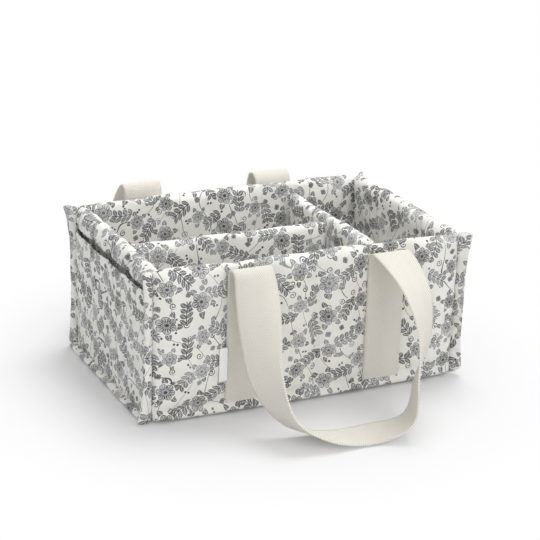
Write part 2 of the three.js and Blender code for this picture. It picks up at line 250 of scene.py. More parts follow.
def scattered(f, u, v, size, shift):
    """The place in a half-drop cell, moved and turned at random, and the cell's random number."""
    a = u / size + shift
    column = a.math("FLOOR")
    b = v / size + shift * 0.5 + 0.5 * column.math("FLOORED_MODULO", 2)
    row = b.math("FLOOR")
    seed = f.node("ShaderNodeCombineXYZ", {}, {0: column, 1: row, 2: shift + size})
    chance = f.node("ShaderNodeTexWhiteNoise", {"noise_dimensions": "3D"}, {"Vector": seed}, 1)
    left, low, turn = f.parts(chance, 0, 1, 2)
    x = (a - column - 0.5) * size + (left - 0.5) * JITTER
    y = (b - row - 0.5) * size + (low - 0.5) * JITTER
    place = f.node("ShaderNodeCombineXYZ", {}, {0: x, 1: y})
    spin = {"Vector": place, "Angle": turn * TURN}
    turned = f.node("ShaderNodeVectorRotate", {"rotation_type": "Z_AXIS"}, spin)
    return [*f.parts(turned, 0, 1), left]


def reach_of(x, y):
    return (x * x + y * y).math("SQRT")


def leaf(f, x, y, angle, width):
    """Darkness of an almond leaf that grows from the origin, with a pale rib and veins."""
    cos, sin = math.cos(math.radians(angle)), math.sin(math.radians(angle))
    along = x * cos + y * sin
    aside = abs(y * cos - x * sin)
    part = along / LEAF
    depth = part * (1 - part) * (2 * width) - aside
    inside = f.rise(depth, 0.0, 0.4)
    rim = 1 - f.rise(depth, 0.35, 1.0)
    veins = f.rise(((along - aside * 1.3) * (TURN / 2.6)).math("SINE"), -0.2, 0.5)
    rib = f.rise(aside, 0.12, 0.4)
    return inside * (0.5 + 0.45 * veins + 0.4 * rim) * (0.3 + 0.7 * rib)


def blossom(f, x, y, petals, radius):
    """Where a blossom lies and its darkness: petals, a ring of small ones and an eye."""
    away = reach_of(x, y)
    angle = y.math("ARCTAN2", x)
    lobe = abs((angle * (petals / 2)).math("COSINE"))
    edge = radius * (0.72 + 0.28 * lobe.math("POWER", 0.6))
    inside = f.rise(edge - away, 0.0, 0.45)
    rim = 1 - f.rise(edge - away, 0.4, 1.1)
    gap = 1 - f.rise(lobe, 0.05, 0.3)
    lines = f.rise((angle * (petals * 3)).math("SINE"), -0.2, 0.6)
    deep = 1 - f.rise(away, 0.35 * radius, 1.05 * radius)
    outer = 0.3 + 0.75 * rim + 0.5 * gap + 0.75 * deep * lines
    ring = 0.55 * radius * (0.7 + 0.3 * abs((angle * (petals / 2)).math("SINE")))
    heart = f.rise(ring - away, 0.0, 0.45)
    inner = 0.3 + 0.75 * (1 - f.rise(ring - away, 0.3, 1.1)) + 0.45 * lines
    eye = 1 - f.rise(away, 0.13 * radius, 0.2 * radius)
    shade = outer * (1 - heart) + (inner + 0.6 * eye) * heart
    return inside, shade.math("MINIMUM", 1.0)


def fern(f, x, y, radius, pitch):
    """Darkness of a thin line wound up like a young fern."""
    away = reach_of(x, y)
    turns = away / pitch - y.math("ARCTAN2", x) / TURN
    line = 1 - f.rise(abs(turns - turns.math("FLOOR") - 0.5), 0.14, 0.26)
    return line * (1 - f.rise(away, radius - 0.3, radius))


def over(ink, cover, shade):
    """A shape laid over the ink that is there, with a narrow pale edge round it."""
    return ink * (1 - cover) + shade


def plant_print(f, place, u, v):
    """Darkness of the ink at a place on the cloth, in millimetres."""
    wander = (u + v * 0.4 + f.noise(place, 15.0, 0.0) * TENDRIL_SWAY) / TENDRIL
    ink = 0.85 * (1 - f.rise(abs(wander - wander.math("FLOOR") - 0.5), 0.008, 0.016))

    x, y, chance = scattered(f, u, v, FILLER, 0.25)
    inside, shade = blossom(f, x, y, 4, SMALL_BLOSSOM)
    berries = 1 - f.rise(reach_of(abs(x) - 2.0, y), 1.2, 1.7)
    no_berry = f.rise(chance, BERRY_SHARE, BERRY_SHARE + 0.01)
    wound = f.rise(chance, FERN_FROM, FERN_FROM + 0.01)
    ink = ink.math("MAXIMUM", inside * shade * no_berry * (1 - wound))
    ink = ink.math("MAXIMUM", berries * 0.9 * (1 - no_berry))
    ink = ink.math("MAXIMUM", fern(f, x, y, 4.4, 2.7) * wound * 0.9)

    x, y, _ = scattered(f, u, v, GARDEN, 0.5)
    y = y + ((x * (1 / 9)).math("SINE")) * 2.0
    step = (x / LEAFLET).math("FLOOR")
    body = 1 - f.rise(abs(step + 0.5), 1.6, 1.7)
    apart = abs(y)
    stalk = (1 - f.rise(apart, 0.3, 0.7)) * (1 - f.rise(abs(x), 13.0, 14.0))
    sprig = (leaf(f, x - step * LEAFLET, apart, 50, 5.4) * body).math("MAXIMUM", stalk * 0.9)
    near = (1 - f.rise(apart, 7.6, 8.4)) * body
    ink = over(ink, near, sprig)

    x, y, chance = scattered(f, u, v, GARDEN, 0.0)
    size = 0.82 + 0.36 * chance
    x, y = x / size, y / size
    away = reach_of(x, y)
    fifth = y.math("ARCTAN2", x) * (5 / TURN)
    local = (fifth - fifth.math("FLOOR") - 0.5) * (TURN / 5)
    whorl = leaf(f, away * local.math("COSINE") - 7.5, away * local.math("SINE"), 14, 6.6)
    ink = over(ink, f.rise(whorl, 0.02, 0.1), whorl)
    inside, shade = blossom(f, x, y, 6, BLOSSOM)
    return over(ink, 1 - f.rise(away, BLOSSOM + 0.2, BLOSSOM + 0.8), inside * shade)


print("the print repeats in cells of", GARDEN, "mm")

# %% [markdown]
# The ink's grey breaks up a little with the yarns. A plain weave of crossing sine waves gives the bump.
# Between the walls the cloth is painted a little lighter than outside: painted light where the inside is in
# shade.

# %% Mix the cloth finishes
GROUND = colour(242, 241, 235)
GROUND_SHADE = colour(235, 234, 227)
INSIDE_PAINTED_LIGHT = colour(250, 249, 243)
INK = colour(40, 44, 54)
INK_PALE = colour(52, 60, 84)
PRINT_SWAY = 7
WEAVE = 0.8
DULL = 0.25


def place_on_cloth(f):
    """The UV place in metres, and its two parts in millimetres."""
    place = f.node("ShaderNodeUVMap", {"uv_map": CUT}, {})
    u, v = f.parts(place, 0, 1)
    return place, u * 1000, v * 1000


def painted_light_inside_mask(f):
    """1 between the walls, where lighter colour is painted as light on the shaded inside, from its place in
    the model, and 0 on the outside.
    """
    x, y = (abs(part) for part in f.parts(f.model_place(), 0, 1))
    return (1 - f.rise(x, INNER_X, INNER_X + WALL / 2)) * (1 - f.rise(y, INNER_Y, INNER_Y + WALL / 2))


def printed_cotton(name):
    f = Finish(name)
    place, u, v = place_on_cloth(f)
    slub = f.noise(place, 900.0, 3.0)
    soft = f.noise(place, 30.0, 3.0)
    ground = f.mix(f.rise(soft, 0.3, 0.7), GROUND, GROUND_SHADE)
    # painted light: the cloth between the walls is made lighter, to stand in for light on the shaded inside
    ground = f.mix(painted_light_inside_mask(f), ground, INSIDE_PAINTED_LIGHT)
    aside, along = ((part - 0.5) * PRINT_SWAY for part in f.parts(f.noise(place, 22.0, 2.0, 1), 0, 1))
    ink = plant_print(f, place, u + aside, v + along)
    patch = f.noise(place, 26.0, 1.0)
    worn = ink * (0.8 + 0.4 * slub) * (0.8 + 0.5 * f.rise(patch, 0.35, 0.65))
    ink_tone = f.mix(f.rise(patch, 0.4, 0.6), INK_PALE, INK)
    shade = f.mix(worn.math("MINIMUM", 0.95), ground, ink_tone)
    crinkle = f.noise(place, 105.0, 3.0)
    weave = (u * (TURN / WEAVE)).math("SINE") * (v * (TURN / WEAVE)).math("SINE")
    normal = f.bump(0.5 * weave + slub + 9 * crinkle, 0.5, 0.0003)
    return f.surface(Base_Color=shade, Roughness=0.82 + 0.14 * slub, Normal=normal,
                     Sheen_Weight=0.15, Specular_IOR_Level=DULL)


cotton = printed_cotton("printed cotton")
print("printed cotton has", len(cotton.node_tree.nodes), "nodes")

# %% [markdown]
# ## Webbing, thread, tape and label
# The webbing is a cream herringbone: diagonal ribs that turn back every few millimetres. The tapes
# that hold the dividers have a hairy face, which is a noise bump, and the label is a smooth ribbon
# with nothing on it.

# %% Mix the finishes of the trimmings
RIB = 2.8
CHEVRON = 12.0
YARN = 0.9


def webbing_finish():
    f = Finish("cotton webbing")
    place, u, v = place_on_cloth(f)
    zigzag = (u / CHEVRON).math("PINGPONG", 1.0) * CHEVRON
    rib = ((v + zigzag) * (TURN / RIB)).math("SINE")
    yarn = (u * (TURN / YARN)).math("SINE")
    slub = f.noise(place, 700.0, 3.0)
    shade = f.mix(f.rise(rib + slub, -0.4, 1.6), colour(223, 218, 207), colour(244, 240, 231))
    normal = f.bump(rib + 0.25 * yarn + 0.8 * slub, 0.6, 0.0005)
    return f.surface(Base_Color=shade, Roughness=0.8 + 0.15 * slub, Normal=normal,
                     Sheen_Weight=0.2, Specular_IOR_Level=DULL)


def plain_finish(name, light, dark, grain, bump, rough):
    """A finish for small pieces with no UV map."""
    f = Finish(name)
    fine = f.noise(f.model_place(), grain, 4.0)
    shade = f.mix(f.rise(fine, 0.3, 0.7), colour(*dark), colour(*light))
    return f.surface(Base_Color=shade, Roughness=rough + 0.1 * fine, Normal=f.bump(fine, bump, 0.0005),
                     Specular_IOR_Level=DULL)


webbing = webbing_finish()
thread = plain_finish("cotton thread", (240, 237, 229), (222, 217, 206), 2500.0, 0.4, 0.7)
tape = plain_finish("loop tape", (240, 242, 245), (214, 217, 222), 1800.0, 1.0, 0.85)
ribbon = plain_finish("label ribbon", (250, 249, 247), (240, 239, 236), 1500.0, 0.2, 0.6)
card = plain_finish("base board", (190, 174, 146), (170, 152, 124), 400.0, 0.3, 0.8)
print("mixed", len(bpy.data.materials), "materials")

# %% [markdown]
# ## Floor and light
# The white floor takes a soft shadow near the caddy. Its far part glows for the camera alone, so it
# melts into the background while the light stays at a plain level. Most light is an even white sky.
# The key lamp is high, behind and to the right, so the shadow comes forward and left, and a weaker
# lamp lights the front.

# %% Make the floor and the lights
FLOOR_SIZE = 12.0
GLOW_NEAR = 0.08
GLOW_FROM = 0.2
GLOW_TO = 0.43
SKY = 0.71
WHITE = (1, 1, 1, 1)
LIT_POINT = (0, 0, 0.1)
mesh = bmesh.new()
bmesh.ops.create_grid(mesh, x_segments=8, y_segments=8, size=FLOOR_SIZE / 2)
floor = add("floor", bpy.data.meshes.new("floor"))
mesh.to_mesh(floor.data)
mesh.free()

f = Finish("studio floor")
reach = f.node("ShaderNodeVectorMath", {"operation": "LENGTH"}, {0: f.model_place()}, 1)
rays = f.node("ShaderNodeLightPath", {}, {}).socket.node.outputs
seen = Wire(f, rays["Is Camera Ray"]).math("MAXIMUM", Wire(f, rays["Is Glossy Ray"]))
seen = seen.math("MAXIMUM", Wire(f, rays["Is Transmission Ray"]))
glow = f.node("ShaderNodeEmission", {}, {"Color": WHITE, "Strength": 1.0})
f.surface(Base_Color=colour(224, 224, 225), Roughness=0.9)
far = seen * (GLOW_NEAR + (1 - GLOW_NEAR) * f.rise(reach, GLOW_FROM, GLOW_TO))
lit = Wire(f, f.shader.outputs[0])
blended = f.node("ShaderNodeMixShader", {}, {0: far, 1: lit, 2: glow})
f.feed(f.tree.nodes["Material Output"].inputs["Surface"], blended)
floor.data.materials.append(f.material)

world = bpy.data.worlds.new("studio")
world.use_nodes = True
sky = world.node_tree.nodes["Background"].inputs
sky["Color"].default_value = WHITE
sky["Strength"].default_value = SKY
scene.world = world


def soft_lamp(name, place, size, power):
    lamp = add(name, bpy.data.lights.new(name, "AREA"))
    lamp.data.shape = "DISK"
    lamp.data.size = size
    lamp.data.energy = power
    lamp.location = place
    lamp.rotation_euler = (Vector(LIT_POINT) - Vector(place)).to_track_quat("-Z", "Y").to_euler()


soft_lamp("key", place=(0.6, 0.5, 2.2), size=1.2, power=28)
soft_lamp("fill", place=(0.0, -2.1, 1.4), size=1.6, power=12)
print("floor, world and two lamps")

# %% [markdown]
# ## Padded panels
# Each wall is one cover folded over a sheet of foam and quilted through. It starts as a flat grid
# that runs along the wall, and up the outer face, over the round top and down the inner face.
# Columns of the grid lie on the lines of stitches, so the cloth can dip there. The flat grid also
# gives the UV map, as cloth is cut flat before it is sewn.

# %% Helpers for cloth meshes
GRID_STEP = 6.5 * MM


def clamp(part):
    return min(max(part, 0.0), 1.0)


def round_rise(part):
    """From 0 to 1 along a quarter of a circle."""
    left = 1 - clamp(part)
    return math.sqrt(1 - left * left)


def finish_mesh(name, mesh, material, subdivisions=1):
    """A bmesh as a smooth object with one finish."""
    made = add(name, bpy.data.meshes.new(name))
    mesh.to_mesh(made.data)
    mesh.free()
    made.data.materials.append(material)
    made.data.polygons.foreach_set("use_smooth", [True] * len(made.data.polygons))
    if subdivisions:
        smooth = made.modifiers.new("smooth", "SUBSURF")
        smooth.levels = smooth.render_levels = subdivisions
    return made


def wobble(*place):
    """Smooth noise, from -1 to 1."""
    return noise.noise(Vector(place))


def thicken(piece, thickness):
    """Give a sheet its thickness, half to each side."""
    thick = piece.modifiers.new("thickness", "SOLIDIFY")
    thick.thickness = thickness
    thick.offset = 0


def cloth_grid(columns, rows, offset):
    """A flat grid with its columns and rows at the given places, and its UV map in metres."""
    mesh = bmesh.new()
    bmesh.ops.create_grid(mesh, x_segments=len(columns) - 1, y_segments=len(rows) - 1, size=0.5)
    cut = mesh.loops.layers.uv.new(CUT)
    row = mesh.verts.layers.int.new("row")
    column = mesh.verts.layers.int.new("column")
    for vertex in mesh.verts:
        i = round((vertex.co.x + 0.5) * (len(columns) - 1))
        j = round((vertex.co.y + 0.5) * (len(rows) - 1))
        vertex.co = Vector((columns[i], rows[j], 0))
        vertex[row] = j
        vertex[column] = i
    for face in mesh.faces:
        for loop in face.loops:
            loop[cut].uv = (loop.vert.co.x + offset[0], loop.vert.co.y + offset[1])
    return mesh


def face_out(mesh):
    bmesh.ops.recalc_face_normals(mesh, faces=mesh.faces)


def close_tube(mesh, layer):
    """Join a grid's first and last line and fill the ends."""
    mark = mesh.verts.layers.int[layer]
    last = max(v[mark] for v in mesh.verts)
    hems = [e for e in mesh.edges if {v[mark] for v in e.verts} in ({0}, {last})]
    bmesh.ops.bridge_loops(mesh, edges=hems)
    bmesh.ops.holes_fill(mesh, edges=[e for e in mesh.edges if e.is_boundary], sides=0)
    face_out(mesh)


def steps(marks, step):
    """The marks, with evenly spaced places between them."""
    places = []
    for low, high in zip(marks, marks[1:]):
        count = max(1, math.ceil((high - low) / step - 1e-6))
        places += [low + (high - low) * i / count for i in range(count)]
    return places + [marks[-1]]


def nearest(zones, u):
    """Distance from a place to the nearest zone that is sewn flat."""
    return min(max(low - u, u - high, 0.0) for low, high in zones)


def line(u, width=2 * MM):
    """A zone that is sewn flat, round a place along a panel."""
    return (u - width / 2, u + width / 2)


def held_ends(span, width):
    """The zones at both ends of a panel, which stay flat."""
    return [(-span, width - span / 2), (span / 2 - width, span)]


print("cloth helpers ready")

# %% [markdown]
# At its ends a panel is pinched into the corner seam, between its stitched lines it swells, its rim
# is a fat soft roll, and its foot bulges where the base is sewn in. Small folds run off every seam,
# and behind a pocket's mouth the outer face is hollow.

# %% Shape a panel
PINCHED = 1.4 * MM
PINCH_REACH = 15 * MM
PUFF_SPREAD = 17 * MM
PUFF_TOP = 36 * MM
PUFF_FOOT = 18 * MM
FOOT_ROLL = 4 * MM
FOOT_TUCK = 0.4
WELT_HEIGHT = 13 * MM
WELT_BOW = 0.6
WELT_START = 0.28
RIM = 1.8 * MM
RIM_BOW = 1.5 * MM
RIM_DIP = 0.6
RIM_GATHER = 0.6 * MM
RIM_REACH = 30 * MM
RIM_WAVE = 1.2 * MM
CORNER_DROP = 2 * MM
PUCKER = 1.0 * MM
PUCKER_REACH = 6 * MM
SEAM_ROLL = 2.5 * MM
FOOT_STEP = 3 * MM
RIM_STEP = 3.8 * MM
CREASE = 3.5 * MM
CREASE_REACH = 5 * MM
CURL = 1.5 * MM
CURL_REACH = 60 * MM
HOLLOW = 9 * MM
HOLLOW_LIP = 5 * MM
HOLLOW_REACH = 60 * MM
HOLLOW_NOTCH = 3.5 * MM


class Panel:
    """A padded panel: its size, where it is sewn flat, how it swells and where it stands."""

    def __init__(self, span, foot, top, half, outer, inner, puffs, place, seed, pinch=PINCHED, welt=0.0,
                 rim=RIM, raised=(0.0, 0.0), hollow=0.0, corner=0.0):
        self.span, self.foot, self.top, self.half = span, foot, top, half
        self.sewn = [outer, inner]
        self.puffs, self.place, self.seed = puffs, place, seed
        self.pinch, self.welt, self.rim = pinch, welt, rim
        self.raised, self.hollow, self.corner = raised, hollow, corner
        self.straight = top - half - foot
        self.arc = math.pi * half

    def gather(self, u):
        """From 0 in the corner seam to 1 along the panel."""
        return round_rise((self.span / 2 - abs(u)) / PINCH_REACH)

    def swell(self, face, u, z):
        """How far a face puffs out, away from its seams, its foot and its rim."""
        seam = nearest(self.sewn[face], u)
        start = self.foot + (WELT_HEIGHT if self.welt and face == 0 else 0.0)
        tall = round_rise((z - start) / PUFF_FOOT) * round_rise((self.top - self.half - z) / PUFF_TOP)
        return self.puffs[face] * round_rise(seam / PUFF_SPREAD) * tall

    def lift(self, u):
        """How far the soft top is raised: an amount at each end, and a bow between."""
        part = u / self.span + 0.5
        low, high = self.raised
        return low + (high - low) * part + RIM_BOW * 4 * part * (1 - part) * (max(self.raised) > 0)

    def dent(self, z, full):
        """The hollow behind a pocket's mouth, under the rim."""
        lip = self.hollow + HOLLOW_NOTCH * (1 - full)
        under = clamp((lip - z) / HOLLOW_LIP)
        fade = clamp(1 - (lip - z) / HOLLOW_REACH)
        return HOLLOW * under * under * (3 - 2 * under) * fade

    def crease(self, u, under):
        """The fold in an inner corner, a given distance under the rim."""
        off = (abs(u) - self.corner) / CREASE_REACH
        return CREASE * math.exp(-off * off) * clamp(under / RIM_REACH)

    def curl(self, u, rise):
        """How far the foot lifts off the floor towards the corners."""
        corner = max(1 - (self.span / 2 - abs(u)) / CURL_REACH, 0.0)
        return (CURL if self.welt else 0.0) * corner ** 2 * max(1 - rise / CURL_REACH, 0.0) ** 2

    def folds(self, face, u, z):
        """Small folds that run off the upright seams."""
        off = nearest(self.sewn[face], u) / PUCKER_REACH
        return PUCKER * off * math.exp(1 - off) * wobble(u * 9, z * 90, self.seed + face)

    def point(self, u, s):
        """The point for a place along the panel and a distance up and over its cover."""
        straight, arc = self.straight, self.arc
        gather = self.gather(u)
        half = self.pinch + (self.half - self.pinch) * gather
        gathers = RIM_GATHER * wobble(u * 80, self.seed, 4)
        full = round_rise(nearest(self.sewn[0], u) / PUFF_SPREAD)
        fat = half + gather * (self.rim * full + gathers)
        wave = RIM_WAVE * (0.5 + wobble(u * 15, self.seed, 9))
        dip = CORNER_DROP * (1 - gather) + RIM_DIP * self.rim * (1 - full)
        shoulder = self.top + self.lift(u) - wave - dip - fat
        if straight < s < straight + arc:
            angle = (s - straight) / self.half
            return self.place(u, fat * math.cos(angle), shoulder + fat * math.sin(angle))
        face = 0 if s <= straight else 1
        rise = s if face == 0 else 2 * straight + arc - s
        z = self.foot + rise * (shoulder - self.foot) / straight + self.curl(u, rise)
        roll = (1 - round_rise(rise / FOOT_ROLL)) * half * FOOT_TUCK
        arch = math.sin(math.pi * (WELT_START + (1 - WELT_START) * min(rise / WELT_HEIGHT, 1.0)))
        bow = 1 + WELT_BOW * (1 - (2 * u / self.span) ** 2)
        welt = self.welt * bow * arch * gather * (1 - face)
        near_rim = clamp(1 - (shoulder - z) / RIM_REACH)
        body = half + (fat - half) * near_rim ** 2 * (3 - 2 * near_rim)
        out = body + self.swell(face, u, z) + self.folds(face, u, z) + welt - roll
        if face == 0:
            return self.place(u, out - self.dent(z, full) if self.hollow else out, z)
        return self.place(u, (self.crease(u, shoulder - z) if self.corner else 0.0) - out, z)

    def columns(self):
        """Places along the panel, some on the lines of stitches."""
        edge = self.span / 2
        marks = {-edge, edge, PINCH_REACH - edge, edge - PINCH_REACH}
        for low, high in self.sewn[0] + self.sewn[1]:
            near = (low - SEAM_ROLL, low, high, high + SEAM_ROLL)
            marks |= {u for u in near if abs(u) < edge - 1 * MM}
        return steps(sorted(marks), GRID_STEP)

    def rows(self):
        """Distances up, over and down the cover, closest where it curves most."""
        straight, arc = self.straight, self.arc
        total = 2 * straight + arc
        lip = [self.hollow - self.foot + k * HOLLOW_LIP for k in (-1, -0.5, 0, 0.5) if self.hollow]
        parts = [([0, WELT_HEIGHT], FOOT_STEP), ([WELT_HEIGHT, *lip, straight], GRID_STEP),
                 ([straight, straight + arc], RIM_STEP), ([straight + arc, total - WELT_HEIGHT], GRID_STEP),
                 ([total - WELT_HEIGHT, total], FOOT_STEP)]
        return [row for marks, step in parts for row in steps(marks, step)[:-1]] + [total]


print("panel shape ready")

# %% [markdown]
# A cloth simulation finds the soft shape of a stuffed wall. The cover is blown up with a little air
# pressure while its seams are held, and the swelling is capped. The cover is cut a little larger
# than its padding, so small creases come by themselves along the seams.

# %% Blow a cover up against its seams
PUFF_FRAMES = 16
PUFF_PRESSURE = 4.0
SLACK = 0.03
ON_SEAM = 0.1 * MM
HELD_EDGE = 3 * MM
RIM_FROM = 0.97
HELD_CREASE = 0.15


def inflate(piece, held, cap):
    """Swell a closed cover by cloth simulation, no point further than the cap."""
    flat_points = [v.co.copy() for v in piece.data.vertices]
    seams = piece.vertex_groups.new(name="sewn")
    seams.add(held, 1.0, "REPLACE")
    cloth = piece.modifiers.new("puff", "CLOTH")
    rules = cloth.settings
    rules.quality = 3
    rules.shrink_min = -SLACK
    rules.vertex_group_mass = "sewn"
    rules.use_pressure = True
    rules.uniform_pressure_force = PUFF_PRESSURE
    rules.effector_weights.gravity = 0
    for number in range(1, PUFF_FRAMES + 1):
        scene.frame_set(number)
    puffed = piece.evaluated_get(bpy.context.evaluated_depsgraph_get())
    moves = [puffed.data.vertices[i].co - p for i, p in enumerate(flat_points)]
    piece.modifiers.remove(cloth)
    scene.frame_set(1)
    for vertex, start, move in zip(piece.data.vertices, flat_points, moves):
        far = max(move.length, 1e-9)
        vertex.co = start + move * (cap / far) * (1 - math.exp(-far / cap))


def padded_panel(name, panel, offset, cap, ripple, covered=0.0):
    """One closed cover. It stays flat outside, up to the covered height."""
    rows = panel.rows()
    height = rows[-1]
    rim = panel.straight * RIM_FROM
    mesh = cloth_grid(panel.columns(), rows, offset)
    marks = mesh.verts.layers.float.new("held")
    for vertex in mesh.verts:
        u, s = vertex.co.x, vertex.co.y
        face = 0 if s < height / 2 else 1
        notch = panel.hollow and nearest(panel.sewn[0], u) < ON_SEAM
        at_seam = notch if rim < s < height - rim else nearest(panel.sewn[face], u) < ON_SEAM
        at_edge = abs(u) > panel.span / 2 - HELD_EDGE or min(s, height - s) < WELT_HEIGHT + 1 * MM
        vertex[marks] = 1.0 if at_seam or at_edge or s < covered else 0.0
        crease = noise.noise_vector(Vector((u * 38, s * 26, offset[0] * 50))) * ripple
        crease += noise.noise_vector(Vector((u * 95, s * 40, offset[1] * 50))) * ripple * 0.5
        vertex.co = panel.point(u, s) + crease * (HELD_CREASE if vertex[marks] else 1.0)
    close_tube(mesh, "row")
    mesh.verts.index_update()
    held = [v.index for v in mesh.verts if v[marks] > 0.5]
    piece = finish_mesh(name, mesh, cotton)
    inflate(piece, held, cap)
    return piece


print("panel maker ready")

# %% [markdown]
# ## The four walls
# The long walls are sewn flat under the handle strips and along the middle, and the ends are
# quilted into four upright channels. The soft rims stand higher towards the back and the right.

# %% Make the walls
FRONT_MIDDLE = 6.5 * MM
BACK_MIDDLE = -18 * MM
HANDLE_SPACING = 182 * MM
CROSS_X = 93 * MM
TAPE_SEAT = 20 * MM
END_CHANNELS = 4
GROOVE = 2.5 * MM
WALL_FOOT = 0.5 * MM
FOOT_GAP = 1.2 * MM
WELT = 6 * MM
WALL_SLACK = 5 * MM
END_SLACK = 4 * MM
END_RIM = 4 * MM
LONG_PUFFS = (6 * MM, 2.5 * MM)
END_PUFFS = (3 * MM, 2.5 * MM)
RIPPLE = 1.2 * MM
POCKET_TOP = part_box("left_pocket")[1].z
WALL_MIDDLE_Y = WIDTH / 2 - WALL / 2
WALL_MIDDLE_X = LENGTH / 2 - WALL / 2


def long_wall(side, middle, raised):
    span = LENGTH - 1 * MM
    strips = [line(middle + k * HANDLE_SPACING / 2, STRAP_WIDTH + 2 * GROOVE) for k in (-1, 1)]
    outer = held_ends(span, PINCHED) + strips + [line(middle)]
    inner = outer + [line(CROSS_X, TAPE_SEAT), line(-INNER_X, 0.0), line(INNER_X, 0.0)]
    return Panel(span, FOOT_GAP, HEIGHT, WALL / 2, outer, inner, LONG_PUFFS,
                 lambda u, d, z: Vector((u, side * (WALL_MIDDLE_Y + d), z)), 5.1 * side,
                 welt=WELT, raised=raised, corner=INNER_X)


def end_wall(side, raised):
    span = WIDTH - 2 * (WALL / 2 - CLEAR)
    quilted = 2 * (INNER_Y - CLEAR)
    channels = [line(quilted * (i / END_CHANNELS - 1 / 2)) for i in range(1, END_CHANNELS)]
    outer = held_ends(span, PINCHED) + channels
    inner = outer + [line(0, TAPE_SEAT), line(-INNER_Y, 0.0), line(INNER_Y, 0.0)]
    return Panel(span, WALL_FOOT, HEIGHT, WALL / 2, outer, inner, END_PUFFS,
                 lambda u, d, z: Vector((side * (WALL_MIDDLE_X + d), u, z)), 8.3 * side,
                 rim=END_RIM, raised=raised, hollow=POCKET_TOP + 1.5 * MM, corner=INNER_Y)


walls = {"front_wall": long_wall(-1, FRONT_MIDDLE, (0.0, 0.0)),
         "back_wall": long_wall(1, BACK_MIDDLE, (4 * MM, 7 * MM)),
         "left_end": end_wall(-1, (0.0, 4 * MM)), "right_end": end_wall(1, (3 * MM, 8 * MM))}
for number, (name, panel) in enumerate(walls.items()):
    at_end = "end" in name
    hidden = POCKET_TOP + 2 * MM if at_end else 0.0
    slack = END_SLACK if at_end else WALL_SLACK
    piece = padded_panel(name, panel, (0.31 * number, 0.17 * number), slack, RIPPLE, hidden)
    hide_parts(f"{name}_cover", f"{name}_foam")
    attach(piece, "basket")
    print(name, "has", len(piece.data.polygons), "faces")

# %% [markdown]
# ## The dividers
# Two padded boards, thinner than the walls, split the inside. Each lifts out, so it rides on its
# own body.

# %% Make the dividers
DIVIDER = 11 * MM
DIVIDER_PUFFS = (1.5 * MM, 1.5 * MM)
DIVIDER_PINCH = 2.6 * MM
DIVIDER_SLACK = 3 * MM
DIVIDER_RIPPLE = 0.9 * MM
for number, name in enumerate(["cross_divider", "long_divider"]):
    low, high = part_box(f"{name}_cover")
    middle = (low + high) / 2
    across = name == "cross_divider"
    span = (high - low).y if across else (high - low).x
    sewn = held_ends(span, 2 * MM) + [line(0, TAPE_SEAT)]

    def stand(u, d, z):
        return Vector((CROSS_X - d, u, z) if across else (middle.x + u, d, z))

    panel = Panel(span, low.z, high.z, DIVIDER / 2, sewn, sewn, DIVIDER_PUFFS, stand, 2.7 + number,
                  pinch=DIVIDER_PINCH)
    offset = (0.13 + 0.23 * number, 0.41)
    piece = padded_panel(name, panel, offset, DIVIDER_SLACK, DIVIDER_RIPPLE)
    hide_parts(f"{name}_cover", f"{name}_foam")
    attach(piece, name)
    print(name, "stands", round(high.z, 3), "m high")

# %% [markdown]
# ## The base
# The base is a board between two layers of cloth, with foam over it. Only the lining shows, so one
# soft slab stands for cloth and foam, and the board stays inside it.

# %% Make the base pad
PAD_DIP = 1.6 * MM
PAD_EDGE = 14 * MM
PAD_STEP = 12 * MM
PAD_FOOT = 0.2 * MM
pad_x = INNER_X - CLEAR
pad_y = INNER_Y - CLEAR
mesh = cloth_grid(steps([-pad_x, pad_x], PAD_STEP), steps([-pad_y, pad_y], PAD_STEP), (0.7, 0.9))
for vertex in mesh.verts:
    edge = min(pad_x - abs(vertex.co.x), pad_y - abs(vertex.co.y))
    soft = noise.noise(vertex.co * 14) * PAD_DIP
    vertex.co.z = SEAT - PAD_DIP * (1 - round_rise(edge / PAD_EDGE)) - abs(soft)
under = bmesh.ops.extrude_face_region(mesh, geom=mesh.faces[:])
for vertex in [g for g in under["geom"] if isinstance(g, bmesh.types.BMVert)]:
    vertex.co.z = PAD_FOOT
face_out(mesh)
base_pad = finish_mesh("base_pad", mesh, cotton)
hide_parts("base_cover", "base_foam", "base_lining")
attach(base_pad, "basket")
print("base pad has", len(base_pad.data.polygons), "faces")

# %% [markdown]
# ## Seam flanges
# The seams lie outside, and their allowances stand out as a narrow padded fin at each corner and
# along the foot of each end. A fin is a strip wrapped round to a closed tube: thin at its root,
# full in the middle, and wavy along its edge. A corner's fin is narrow at its waist and flares out
# to its top and foot.

# %% Make the flanges
FLANGE_THICK = 4.5 * MM
FLANGE_REACH = 14 * MM
FIN_END = 8 * MM
FIN_LOBE = 12 * MM
FIN_SET = 2.4 * MM
FIN_STEP = 2.4 * MM
FIN_WAVE = 2.2 * MM
FIN_RAGGED = 0.9 * MM
FIN_EAR = 2 * MM
CORNER_FULL = 4.0 * MM
FOOT_FULL = 3.6 * MM


def fin(name, length, full, stand, offset, replaced):
    """A padded seam fin. Stand gives the point for a reach, a distance along it and a depth."""
    columns = steps([0, FLANGE_REACH, 2 * FLANGE_REACH], FIN_STEP)
    mesh = cloth_grid(columns, steps([0, length], 5 * MM), offset)
    for vertex in mesh.verts:
        turn, along = vertex.co.x - FLANGE_REACH, vertex.co.y
        share = 1 - abs(turn) / FLANGE_REACH
        fold = 1 + 0.3 * wobble(along * 85, share * 2, offset[0] * 40)
        depth = full * fold * (0.35 * (1 - share) + math.sqrt(max(0.0, 1 - (2 * share - 1) ** 2)))
        depth *= 0.3 + 0.7 * round_rise(min(along, length - along) / FIN_END)
        wave = wobble(along * 34, offset[0] * 40, 0) * FIN_WAVE * share
        vertex.co = stand(share * FLANGE_REACH, along, wave + math.copysign(depth, -turn))
    close_tube(mesh, "column")
    made = finish_mesh(name, mesh, cotton)
    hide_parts(replaced)
    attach(made, "basket")


